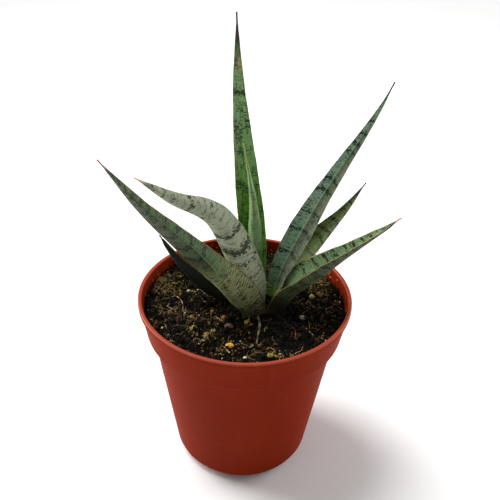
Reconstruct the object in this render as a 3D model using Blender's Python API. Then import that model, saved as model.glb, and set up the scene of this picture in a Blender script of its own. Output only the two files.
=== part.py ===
"""A young snake plant in a plastic nursery pot, with its soil and the loose bits that lie on it.

+Z is up. The origin is the middle of the pot's base, on the table. The front of the plant is towards -Y.
All sizes below are in millimetres, and MM turns them into metres when a mesh is made.
"""

import bpy
import numpy as np

MM = 0.001

# Pot
RIM_RADIUS = 54.0
POT_HEIGHT = 100.0
WALL = 1.2
FLOOR = 2.0
LIP_HEIGHT = 3.4
LIP_WIDTH = 2.0
LIP_ROUND = 0.6
COLLAR_HEIGHT = 19.0
COLLAR_TAPER = 2.6
STEP_IN = 3.0
STEP_DROP = 1.2
BODY_TAPER = 10.4
FOOT_ROUND = 8.0

# Soil
GAP = 0.3
SOIL_BELOW_RIM = 7.0
SOIL_WAVE = 0.7
HOLLOW_DEPTH = 2.8
HOLLOW_MARGIN = 1.0

# Plant
PLANT_SCALE = 1.0
CROWN_X = 8.0
CROWN_Y = -3.0
LEAF_THICKNESS = 2.6 * PLANT_SCALE
LEAF_LAYER = LEAF_THICKNESS + 2 * GAP
OUTERMOST_LAYER = 4.4
TIP_RADIUS = 0.35

POT_SEGMENTS = 56
SOIL_SEGMENTS = 44
LEAF_STATIONS = 24

COLLAR_TOP_RADIUS = RIM_RADIUS - 1.0
COLLAR_LOW_RADIUS = COLLAR_TOP_RADIUS - COLLAR_TAPER
SHOULDER_RADIUS = COLLAR_LOW_RADIUS - STEP_IN
BASE_RADIUS = SHOULDER_RADIUS - BODY_TAPER
STEP_LEVEL = POT_HEIGHT - COLLAR_HEIGHT
SHOULDER_LEVEL = STEP_LEVEL - STEP_DROP
SOIL_LEVEL = POT_HEIGHT - SOIL_BELOW_RIM
FOOT_LEVEL = SOIL_LEVEL - HOLLOW_DEPTH + GAP
HOLLOW_RADIUS = (OUTERMOST_LAYER + 1) * LEAF_LAYER + HOLLOW_MARGIN
CROWN = np.array([CROWN_X, CROWN_Y])


# ---------------------------------------------------------------- scene and meshes


def clear_scene():
    for thing in list(bpy.data.objects):
        bpy.data.objects.remove(thing, do_unlink=True)


def make_material(name, colour, roughness):
    material = bpy.data.materials.new(name)
    material.use_nodes = True
    shader = material.node_tree.nodes["Principled BSDF"]
    shader.inputs["Base Color"].default_value = (*colour, 1.0)
    shader.inputs["Roughness"].default_value = roughness
    shader.inputs["Metallic"].default_value = 0.0
    return material


def signed_volume(points, faces):
    total = 0.0
    for face in faces:
        for k in range(1, len(face) - 1):
            a, b, c = points[face[0]], points[face[k]], points[face[k + 1]]
            total += np.dot(a, np.cross(b, c))
    return total / 6


def make_object(name, points, faces, colour, roughness, smooth=True):
    """A closed body from points in millimetres, turned to face outwards."""
    points = np.asarray(points, float)
    if signed_volume(points, faces) < 0:
        faces = [tuple(reversed(face)) for face in faces]
    mesh = bpy.data.meshes.new(name)
    mesh.from_pydata([tuple(point * MM) for point in points], [], faces)
    mesh.update()
    for polygon in mesh.polygons:
        polygon.use_smooth = smooth
    thing = bpy.data.objects.new(name, mesh)
    thing.data.materials.append(make_material(name, colour, roughness))
    bpy.context.scene.collection.objects.link(thing)
    return thing


def loft(rings, start_point, end_point):
    """Points and faces of a tube through equal rings, closed at both ends by a fan to a point."""
    rings = np.asarray(rings)
    count, around, _ = rings.shape
    points = list(rings.reshape(-1, 3)) + [np.asarray(start_point), np.asarray(end_point)]
    start, end = count * around, count * around + 1
    faces = []
    for j in range(around):
        k = (j + 1) % around
        faces.append((start, k, j))
        for i in range(count - 1):
            low, high = i * around, (i + 1) * around
            faces.append((low + j, low + k, high + k, high + j))
        last = (count - 1) * around
        faces.append((end, last + j, last + k))
    return np.array(points), faces


def lathe(profile, segments):
    """A body turned about Z. The profile of (radius, height) starts and ends on the axis."""
    angle = np.linspace(0, 2 * np.pi, segments, endpoint=False)
    rings = [
        np.stack([r * np.cos(angle), r * np.sin(angle), np.full(segments, z)], axis=1)
        for r, z in profile[1:-1]
    ]
    return loft(rings, (0, 0, profile[0][1]), (0, 0, profile[-1][1]))


# ---------------------------------------------------------------- pot


def foot_arc(radius, round_off, steps=6):
    """The rounded corner between the flat base and the wall, from the base outwards."""
    turn = np.linspace(-np.pi / 2, 0, steps)
    centre = radius - round_off
    return [(centre + round_off * np.cos(t), round_off * (1 + np.sin(t))) for t in turn]


def pot_outside():
    """From the middle of the base, up the outer wall, to the top of the lip."""
    lip_low = POT_HEIGHT - LIP_HEIGHT
    return [
        (0, 0),
        *foot_arc(BASE_RADIUS, FOOT_ROUND),
        (SHOULDER_RADIUS, SHOULDER_LEVEL),
        (COLLAR_LOW_RADIUS - 0.4, STEP_LEVEL - 0.3),
        (COLLAR_LOW_RADIUS, STEP_LEVEL + 0.3),
        (COLLAR_TOP_RADIUS, lip_low),
        (RIM_RADIUS, lip_low + 0.8),
        (RIM_RADIUS, POT_HEIGHT - LIP_ROUND),
        (RIM_RADIUS - LIP_ROUND, POT_HEIGHT),
    ]


def pot_inside(clearance=0.0):
    """From the lip down the inner wall to the middle of the floor, moved inwards by a clearance."""
    lip_low = POT_HEIGHT - LIP_HEIGHT
    floor = FLOOR + clearance
    inset = WALL + clearance
    arc = foot_arc(BASE_RADIUS - inset, FOOT_ROUND - WALL)
    return [
        (RIM_RADIUS - LIP_WIDTH + LIP_ROUND - clearance, POT_HEIGHT),
        (RIM_RADIUS - LIP_WIDTH - clearance, POT_HEIGHT - LIP_ROUND),
        (COLLAR_TOP_RADIUS - inset, lip_low - WALL),
        (COLLAR_LOW_RADIUS - inset, STEP_LEVEL + WALL + clearance),
        (SHOULDER_RADIUS - inset, SHOULDER_LEVEL + WALL + clearance),
        *[(r, z + floor) for r, z in reversed(arc)],
        (0, floor),
    ]


def build_pot():
    points, faces = lathe(pot_outside() + pot_inside(), POT_SEGMENTS)
    make_object("pot", points, faces, (0.36, 0.055, 0.018), 0.55)


# ---------------------------------------------------------------- soil


def soil_edge_radius(level):
    """How far the soil reaches at a level just inside the pot's collar."""
    low, high = STEP_LEVEL + WALL + GAP, POT_HEIGHT - LIP_HEIGHT - WALL
    part = (level - low) / (high - low)
    return COLLAR_LOW_RADIUS - WALL - GAP + part * COLLAR_TAPER


SOIL_RADIUS = soil_edge_radius(SOIL_LEVEL - SOIL_WAVE)


def soil_height(x, y):
    """The gently uneven top of the soil."""
    u, v = x / SOIL_RADIUS, y / SOIL_RADIUS
    wave = np.sin(3.1 * u + 0.7) * np.cos(2.3 * v - 0.4) + 0.5 * np.sin(4.3 * v + 1.9 * u)
    return SOIL_LEVEL + SOIL_WAVE * wave / 1.5


def build_soil():
    angle = np.linspace(0, 2 * np.pi, SOIL_SEGMENTS, endpoint=False)
    circle = np.stack([np.cos(angle), np.sin(angle)], axis=1)
    crown_ring = CROWN + (HOLLOW_RADIUS + HOLLOW_DEPTH) * circle
    edge_ring = SOIL_RADIUS * circle
    rings = []
    for part in np.linspace(1, 0, 8) ** 1.2:
        xy = crown_ring + part * (edge_ring - crown_ring)
        rings.append(np.column_stack([xy, soil_height(xy[:, 0], xy[:, 1])]))
    hollow = CROWN + HOLLOW_RADIUS * circle
    hollow_floor = SOIL_LEVEL - HOLLOW_DEPTH
    rings.append(np.column_stack([hollow, np.full(SOIL_SEGMENTS, hollow_floor)]))
    sides = [
        np.column_stack([r * circle, np.full(SOIL_SEGMENTS, z)])
        for r, z in pot_inside(GAP)[3:-1]
    ]
    centre = (*CROWN, hollow_floor)
    points, faces = loft(sides[::-1] + rings, (0, 0, FLOOR + GAP), centre)
    make_object("potting_soil", points, faces, (0.030, 0.020, 0.013), 0.95)


# ---------------------------------------------------------------- leaves


def smooth_curve(points, parts):
    """Places at the given parts of the length of a Catmull-Rom curve through the points."""
    p = np.asarray(points, float)
    p = np.vstack([2 * p[0] - p[1], p, 2 * p[-1] - p[-2]])
    pieces = []
    for i in range(1, len(p) - 2):
        t = np.linspace(0, 1, 16)[:, None]
        a, b, c, d = p[i - 1 : i + 3]
        bend = (2 * a - 5 * b + 4 * c - d) * t**2 + (3 * b - a - 3 * c + d) * t**3
        pieces.append(0.5 * (2 * b + (c - a) * t + bend))
    curve = np.vstack([pieces[0], *[piece[1:] for piece in pieces[1:]]])
    length = np.append(0, np.cumsum(np.linalg.norm(np.diff(curve, axis=0), axis=1)))
    at = parts * length[-1]
    return np.stack([np.interp(at, length, curve[:, k]) for k in range(3)], axis=1)


def spread(values, parts):
    """A value for each part of the length, from a few evenly spaced ones."""
    return np.interp(parts, np.linspace(0, 1, len(values)), values)


def unit(vectors):
    return vectors / np.linalg.norm(vectors, axis=1)[:, None]


def leaf_frame(parts, seat, layer, heading, spine, facing, foot_turn):
    """The leaf's midline, its sideways direction and the direction its hollow face looks.

    seat is the bearing of the foot from the crown, and layer how many leaves lie inside it there.
    The leaf then bends in the upright plane of heading through (reach, rise) pairs.
    facing is the bearing the hollow face looks towards, a third of the way up and at the tip.
    At the foot it looks at the crown, but for foot_turn degrees.
    """
    bearing = np.radians(seat)
    heading = np.radians(heading)
    foot = CROWN + layer * LEAF_LAYER * np.array([np.cos(bearing), np.sin(bearing)])
    away = np.array([np.cos(heading), np.sin(heading)])
    path = [(*foot, FOOT_LEVEL)]
    for reach, rise in spine:
        path.append((*(foot + reach * PLANT_SCALE * away), SOIL_LEVEL + rise * PLANT_SCALE))
    middle = smooth_curve(path, parts)
    along = unit(np.gradient(middle, axis=0))
    inward = facing[0] + (seat + foot_turn - facing[0]) % 360 - 180
    look = np.radians(np.interp(parts, [0, 0.3, 1], [inward, *facing]))
    towards = np.stack([np.cos(look), np.sin(look), np.zeros_like(look)], axis=1)
    hollow = unit(towards - along * (towards * along).sum(axis=1)[:, None])
    return middle, along, np.cross(along, hollow), hollow


def leaf_width(parts, width, widest, foot_width, taper):
    """Half the width along the leaf: opening from the foot, widest part-way, then drawn to a point."""
    opening = foot_width + (1 - foot_width) * np.sin(np.pi / 2 * np.clip(parts / widest, 0, 1))
    closing = 1 - np.clip((parts - widest) / (1 - widest), 0, 1) ** taper
    return np.maximum(width * PLANT_SCALE / 2 * opening * closing, TIP_RADIUS)


def build_leaf(name, seat, layer, heading, spine, facing, width, widest, foot_width, taper,
               channel, keel, colour, foot_turn=0):
    """A thick leaf: channel is how deep it folds for its width, keel how sharp (1) or round (2)."""
    parts = np.linspace(0, 1, LEAF_STATIONS)
    middle, along, sideways, hollow = leaf_frame(
        parts, seat, layer, heading, spine, facing, foot_turn)
    half = leaf_width(parts, width, widest, foot_width, taper)
    thick = LEAF_THICKNESS * np.interp(parts, [0, 0.3, 0.9, 1], [1, 1, 0.5, 0.3])
    thick = np.minimum(thick, 1.2 * half)
    fold = spread(channel, parts)
    back = np.array([-1, -0.8, -0.4, 0, 0.4, 0.8, 1])
    front = np.array([0.8, 0.4, 0, -0.4, -0.8])
    across = np.append(back, front)
    on_back = np.append(np.ones(len(back)), np.zeros(len(front)))
    rings = []
    for i in range(LEAF_STATIONS):
        chord = half[i] * np.sqrt(1 - 0.55 * fold[i] ** 2)
        rise = half[i] * fold[i] * np.abs(across) ** spread(keel, parts)[i]
        rise -= on_back * thick[i] * (1 - np.abs(across) ** 2.2)
        rings.append(middle[i] + np.outer(chord * across, sideways[i]) + np.outer(rise, hollow[i]))
    rings[0] = rings[0] - np.outer((rings[0][:, 2] - FOOT_LEVEL) / along[0][2], along[0])
    tip = rings[-1].mean(axis=0) + TIP_RADIUS * along[-1]
    points, faces = loft(rings, rings[0].mean(axis=0), tip)
    make_object(name, points, faces, colour, 0.45)


def build_leaves():
    deep_green = (0.10, 0.17, 0.07)
    blue_green = (0.13, 0.20, 0.13)
    silver = (0.36, 0.38, 0.30)
    build_leaf("leaf_tall_centre", seat=92, layer=1.06, heading=140,
               spine=((3, 9), (6, 36), (12.5, 75), (17.5, 110), (19.5, 141)),
               facing=(270, 270), width=13.2, widest=0.35, foot_width=0.55, taper=1.3,
               channel=(0.4, 0.3, 0.3), keel=(1.9, 1.5), colour=deep_green)
    build_leaf("leaf_young_spear", seat=270, layer=0.06, heading=160,
               spine=((0.5, 10), (3.5, 30), (6, 60), (11.5, 88)),
               facing=(90, 90), width=6.5, widest=0.55, foot_width=0.6, taper=0.7,
               channel=(0.4, 0.4), keel=(1.9, 1.5), colour=silver)
    build_leaf("leaf_silver_left", seat=240, layer=1.75, heading=182,
               spine=((1, 9), (4.5, 25.5), (18.5, 54), (39.5, 64.5), (55.5, 74.5)),
               facing=(95, 105), width=16, widest=0.33, foot_width=0.42, taper=1.7,
               channel=(0.4, 0.35, 0.3), keel=(2, 2), colour=silver)
    build_leaf("leaf_front_left", seat=233, layer=3.5, heading=199, foot_turn=12,
               spine=((-1, 5), (2.5, 13), (12.5, 26.5), (29.5, 47), (47.5, 68.7), (64.6, 93.5)),
               facing=(95, 115), width=17, widest=0.15, foot_width=0.85, taper=1.25,
               channel=(0.4, 0.4, 0.4), keel=(2, 1.3, 1.3), colour=blue_green)
    build_leaf("leaf_tall_right", seat=38, layer=2.05, heading=20,
               spine=((2.5, 10), (7, 25), (23, 58), (46, 95.5), (54, 111.5)),
               facing=(240, 250), width=13, widest=0.38, foot_width=0.55, taper=0.92,
               channel=(0.5, 0.4, 0.4), keel=(1.9, 1.3), colour=blue_green)
    build_leaf("leaf_back_right", seat=58, layer=3.65, heading=24,
               spine=((2, 8), (10.5, 19), (36.5, 43), (48.5, 57.5)),
               facing=(230, 240), width=12.6, widest=0.48, foot_width=0.5, taper=0.82,
               channel=(0.5, 0.4), keel=(1.9, 1.3), colour=deep_green)
    build_leaf("leaf_low_right", seat=-41, layer=2.55, heading=-4,
               spine=((2.5, 4), (9, 15), (20, 25.2), (33, 38.8), (55, 60)),
               facing=(174, 182), width=20, widest=0.38, foot_width=0.42, taper=0.75,
               channel=(0.5, 0.85, 0.5), keel=(1.9, 1.4), colour=blue_green)
    build_leaf("leaf_back_left", seat=172, layer=OUTERMOST_LAYER, heading=187,
               spine=((3, 4), (13.5, 11), (26, 26), (35.5, 42.5)),
               facing=(50, 60), width=11, widest=0.35, foot_width=0.5, taper=1.4,
               channel=(0.4, 0.4), keel=(1.9, 1.5), colour=(0.05, 0.08, 0.045))


# ---------------------------------------------------------------- bits on the soil


def on_soil(bearing, part, lift):
    """A place over the soil, lifted clear of its top.

    bearing is seen from the crown, and part is how far it lies from the hollow's edge to the pot's wall.
    """
    angle = np.radians(bearing)
    away = np.array([np.cos(angle), np.sin(angle)])
    middle = -np.dot(CROWN, away)
    wall = middle + np.sqrt(SOIL_RADIUS**2 - np.dot(CROWN, CROWN) + middle**2)
    edge = HOLLOW_RADIUS + HOLLOW_DEPTH
    x, y = CROWN + (edge + part * (wall - edge)) * away
    return np.array([x, y, soil_height(x, y) + GAP + lift])


def build_grain(name, bearing, part, size, turn, colour):
    """A rounded grain or flake of (length, width, height), lying on the soil."""
    length, width, height = size
    turn = np.radians(turn)
    angle = np.linspace(0, 2 * np.pi, 10, endpoint=False)
    centre = on_soil(bearing, part, height / 2)
    rings = []
    for level in (-0.7, 0, 0.7):
        grow = np.sqrt(1 - level**2)
        x = length / 2 * grow * np.cos(angle) * (1 + 0.12 * np.sin(3 * angle + turn))
        y = width / 2 * grow * np.sin(angle)
        turned_x = x * np.cos(turn) - y * np.sin(turn)
        turned_y = x * np.sin(turn) + y * np.cos(turn)
        z = np.full(len(angle), level * height / 2)
        rings.append(centre + np.column_stack([turned_x, turned_y, z]))
    low, high = centre - (0, 0, height / 2), centre + (0, 0, height / 2)
    points, faces = loft(rings, low, high)
    make_object(name, points, faces, colour, 0.7)


def build_strand(name, stops, radius, colour, sides=8):
    """A thin dry stem through the stops, tapering to half its radius."""
    parts = np.linspace(0, 1, 12)
    middle = smooth_curve(stops, parts)
    along = unit(np.gradient(middle, axis=0))
    sideways = unit(np.cross(along, (0, 0, 1)))
    upward = np.cross(sideways, along)
    angle = np.linspace(0, 2 * np.pi, sides, endpoint=False)
    rings = []
    for i in range(len(parts)):
        r = radius * (1 - 0.5 * parts[i])
        ring = np.outer(r * np.cos(angle), sideways[i]) + np.outer(r * np.sin(angle), upward[i])
        rings.append(middle[i] + ring)
    points, faces = loft(rings, middle[0] - radius * along[0], middle[-1] + radius / 2 * along[-1])
    make_object(name, points, faces, colour, 0.8)


def build_moss(name, bearing, part, length, width, height, colour):
    """A low cushion of moss, flat underneath."""
    angle = np.linspace(0, 2 * np.pi, 16, endpoint=False)
    edge = 1 + 0.15 * np.sin(3 * angle) + 0.1 * np.cos(5 * angle)
    centre = on_soil(bearing, part, 0)
    turn = np.radians(bearing + 90)
    rings = []
    for level, grow in ((0, 1), (0.5, 0.85), (0.85, 0.5)):
        x = length / 2 * grow * edge * np.cos(angle)
        y = width / 2 * grow * edge * np.sin(angle)
        place = np.column_stack([
            centre[0] + x * np.cos(turn) - y * np.sin(turn),
            centre[1] + x * np.sin(turn) + y * np.cos(turn),
        ])
        ground = soil_height(place[:, 0], place[:, 1]) + GAP
        rings.append(np.column_stack([place, ground + level * height]))
    points, faces = loft(rings, centre, centre + (0, 0, height))
    make_object(name, points, faces, colour, 0.95)


def build_soil_bits():
    yellow_green = (0.42, 0.40, 0.12)
    pale = (0.55, 0.50, 0.36)
    build_grain("orange_grain", -115, 0.44, (3.6, 2.8, 2.4), 20, (0.80, 0.42, 0.08))
    build_grain("pellet_front", -106, 0.06, (2.4, 2.2, 2.0), 0, yellow_green)
    build_grain("pellet_lip", -83, 0.69, (2.8, 2.4, 2.0), 30, yellow_green)
    build_grain("pellet_right", 18, 0.30, (3.2, 2.6, 2.2), 60, pale)
    build_grain("pellet_left", 164, 0.47, (2.2, 2.0, 1.8), 10, pale)
    build_grain("pale_chip", -24, 0.09, (4.2, 2.0, 1.4), -35, (0.62, 0.56, 0.42))
    build_grain("white_grain", -100, 0.70, (1.8, 1.6, 1.4), 0, (0.75, 0.73, 0.68))
    build_grain("bark_chip", -132, 0.06, (5.0, 3.0, 1.4), 25, (0.22, 0.14, 0.07))
    stalk_radius = 0.7
    start, end = on_soil(-96, -0.17, stalk_radius), on_soil(-93, 0.45, stalk_radius)
    stalk = [start, (start + end) / 2 + (0.8, 0, 0.8), end]
    build_strand("dry_stalk", stalk, stalk_radius, (0.20, 0.15, 0.08))
    fibre_radius = 0.45
    start, end = on_soil(172, 0.68, fibre_radius), on_soil(-169, 0.50, fibre_radius)
    bowed = [start, (start + end) / 2 + (2.5, 1.0, 1.6), end]
    build_strand("fibre_left", bowed, fibre_radius, (0.40, 0.32, 0.16))
    start, end = on_soil(-33, 0.33, fibre_radius), on_soil(-42, 0.72, fibre_radius)
    straight = [start, (start + end) / 2 + (0, 0, 0.6), end]
    build_strand("fibre_right", straight, fibre_radius, (0.40, 0.32, 0.16))
    build_moss("moss_left", 163, 0.79, 15, 7, 1.8, (0.16, 0.15, 0.04))
    build_moss("moss_right", 33, 0.70, 12, 6, 1.8, (0.16, 0.15, 0.04))


clear_scene()
build_pot()
build_soil()
build_leaves()
build_soil_bits()
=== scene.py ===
"""A young snake plant in a plastic nursery pot: the finished look of each leaf, the pot and the peat.

Sizes are in millimetres until MM turns them into metres. +Z is up and the plant's front is towards -Y.
"""

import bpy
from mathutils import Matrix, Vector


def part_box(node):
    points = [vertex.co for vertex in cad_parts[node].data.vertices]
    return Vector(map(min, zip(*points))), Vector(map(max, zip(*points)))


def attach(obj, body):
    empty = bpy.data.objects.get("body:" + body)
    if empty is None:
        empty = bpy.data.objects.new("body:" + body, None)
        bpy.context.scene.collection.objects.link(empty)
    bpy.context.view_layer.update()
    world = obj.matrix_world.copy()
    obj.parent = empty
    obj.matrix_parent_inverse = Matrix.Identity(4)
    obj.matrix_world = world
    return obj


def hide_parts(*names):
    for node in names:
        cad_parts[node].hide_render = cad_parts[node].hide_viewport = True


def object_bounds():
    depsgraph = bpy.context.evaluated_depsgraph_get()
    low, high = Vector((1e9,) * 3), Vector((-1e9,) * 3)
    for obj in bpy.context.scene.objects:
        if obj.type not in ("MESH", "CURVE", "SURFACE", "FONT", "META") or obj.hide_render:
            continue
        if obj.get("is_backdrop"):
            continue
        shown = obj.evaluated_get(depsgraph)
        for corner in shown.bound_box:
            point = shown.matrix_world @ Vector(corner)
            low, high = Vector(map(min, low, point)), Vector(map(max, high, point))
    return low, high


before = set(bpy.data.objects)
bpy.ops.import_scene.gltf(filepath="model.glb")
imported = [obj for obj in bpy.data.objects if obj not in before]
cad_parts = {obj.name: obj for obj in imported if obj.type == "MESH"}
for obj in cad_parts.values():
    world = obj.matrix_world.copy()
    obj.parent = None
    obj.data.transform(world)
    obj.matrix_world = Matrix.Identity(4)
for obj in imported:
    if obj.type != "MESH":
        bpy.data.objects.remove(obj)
CAD_BOX = [list(corner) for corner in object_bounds()]

import math

import bmesh
import bpy
import numpy as np
from mathutils import Matrix, Vector

MM = 0.001
GAP = 0.3
SEED = 20

# Pot
RIM_RADIUS = 54.0
POT_HEIGHT = 100.0
WALL = 1.2
FLOOR = 2.0
LIP_HEIGHT = 3.4
LIP_WIDTH = 2.0
COLLAR_TOP_RADIUS = 53.0
COLLAR_LOW_RADIUS = 50.4
SHOULDER_RADIUS = 47.4
BASE_RADIUS = 37.0
STEP_LEVEL = 81.0
SHOULDER_LEVEL = 79.8
FOOT_ROUND = 8.0

# Peat
SOIL_LEVEL = 93.9
SOIL_RADIUS = 51.2
CLODS = 1500
FINE_CRUMBS = 8000
WALL_CRUMBS = 110
FIBRES = 520

# Plant
CROWN = np.array([8.0, -3.0])
FOOT_LEVEL = 90.5
SPINE_LEVEL = 93.0
LEAF_THICKNESS = 2.6
LEAF_LAYER = 3.2
OUTERMOST_LAYER = 4.4
TIP_RADIUS = 0.35
LEAF_STATIONS = 170


# ---------------------------------------------------------------- finishes


class Value:
    """A number that varies over a surface. Arithmetic on it adds the shader nodes that work it out."""

    def __init__(self, finish, socket):
        self.finish = finish
        self.socket = socket

    def maths(self, operation, *values):
        return self.finish.node("ShaderNodeMath", {"operation": operation}, dict(enumerate(values)))

    def __add__(self, other):
        return self.maths("ADD", self, other)

    def __radd__(self, other):
        return self.maths("ADD", other, self)

    def __sub__(self, other):
        return self.maths("SUBTRACT", self, other)

    def __rsub__(self, other):
        return self.maths("SUBTRACT", other, self)

    def __mul__(self, other):
        return self.maths("MULTIPLY", self, other)

    def __rmul__(self, other):
        return self.maths("MULTIPLY", other, self)

    def __truediv__(self, other):
        return self.maths("DIVIDE", self, other)

    def __abs__(self):
        return self.maths("ABSOLUTE", self)

    def sine(self):
        return self.maths("SINE", self)

    def between(self, low, high):
        """0 below low and 1 above high, with a soft step between them."""
        inputs = {"Value": self, "From Min": low, "From Max": high}
        return self.finish.node("ShaderNodeMapRange", {"interpolation_type": "SMOOTHSTEP"}, inputs)


def linear(red, green, blue):
    """A paint-chart colour, 0 to 255, as the light it reflects."""
    chart = np.array([red, green, blue]) / 255
    return tuple(float(v) for v in np.where(chart > 0.04045, ((chart + 0.055) / 1.055) ** 2.4, chart / 12.92))


class Finish:
    """A material under construction. Constants go straight onto the shader's own sockets."""

    def __init__(self, name, **constants):
        self.material = bpy.data.materials.new(name)
        self.material.use_nodes = True
        self.tree = self.material.node_tree
        self.shader = self.tree.nodes["Principled BSDF"]
        for key, value in constants.items():
            self.put(key.replace("_", " "), value)

    def put(self, socket, value):
        self.connect(value, self.shader.inputs[socket])

    def connect(self, value, socket):
        if isinstance(value, Value):
            self.tree.links.new(value.socket, socket)
        elif socket.type == "RGBA":
            socket.default_value = (*value, 1.0)
        else:
            socket.default_value = value

    def node(self, kind, settings=None, inputs=None, output=0):
        """Any node: its settings first, then the values or links of its sockets."""
        made = self.tree.nodes.new(kind)
        for key, value in (settings or {}).items():
            if key == "stops":
                self.set_stops(made.color_ramp, value)
            else:
                setattr(made, key, value)
        for key, value in (inputs or {}).items():
            self.connect(value, made.inputs[key])
        return Value(self, made.outputs[output])

    def set_stops(self, ramp, stops):
        while len(ramp.elements) < len(stops):
            ramp.elements.new(0.5)
        for element, (place, colour) in zip(ramp.elements, stops):
            element.position = place
            element.color = (*colour, 1.0)

    def ramp(self, value, stops):
        return self.node("ShaderNodeValToRGB", {"stops": stops}, {0: value})

    def mix(self, factor, first, second):
        """first where factor is 0, second where it is 1."""
        inputs = {0: factor, 6: first, 7: second}
        return self.node("ShaderNodeMix", {"data_type": "RGBA"}, inputs, output=2)

    def split(self, vector):
        first = self.node("ShaderNodeSeparateXYZ", None, {0: vector})
        return [Value(self, socket) for socket in first.socket.node.outputs]

    def join(self, x, y, z):
        return self.node("ShaderNodeCombineXYZ", None, {0: x, 1: y, 2: z})

    def stored(self, name, output="Vector"):
        """A value that the mesh carries at its points."""
        return self.node("ShaderNodeAttribute", {"attribute_name": name}, None, output)

    def place(self):
        """Where a point of the piece is, in metres."""
        return self.node("ShaderNodeTexCoord", None, None, "Object")

    def noise(self, vector, scale=1.0, detail=2.0, roughness=0.5):
        inputs = {"Vector": vector, "Scale": scale, "Detail": detail, "Roughness": roughness}
        return self.node("ShaderNodeTexNoise", {"noise_dimensions": "3D"}, inputs)

    def bump(self, height, depth_mm, strength=1.0):
        inputs = {"Height": height, "Distance": depth_mm * MM, "Strength": strength}
        self.put("Normal", self.node("ShaderNodeBump", None, inputs))


def band_stops(bands_at, length):
    """Ramp stops for dark cross bands, each (place, width, strength) in millimetres along the leaf."""
    stops = [(0.0, (0.0,) * 3)]
    for place, width, strength in sorted(bands_at):
        for offset, depth in ((-0.9, 0.0), (0.0, strength), (0.9, 0.0)):
            stops.append(((place + offset * width) / length, (depth,) * 3))
    return stops


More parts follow.
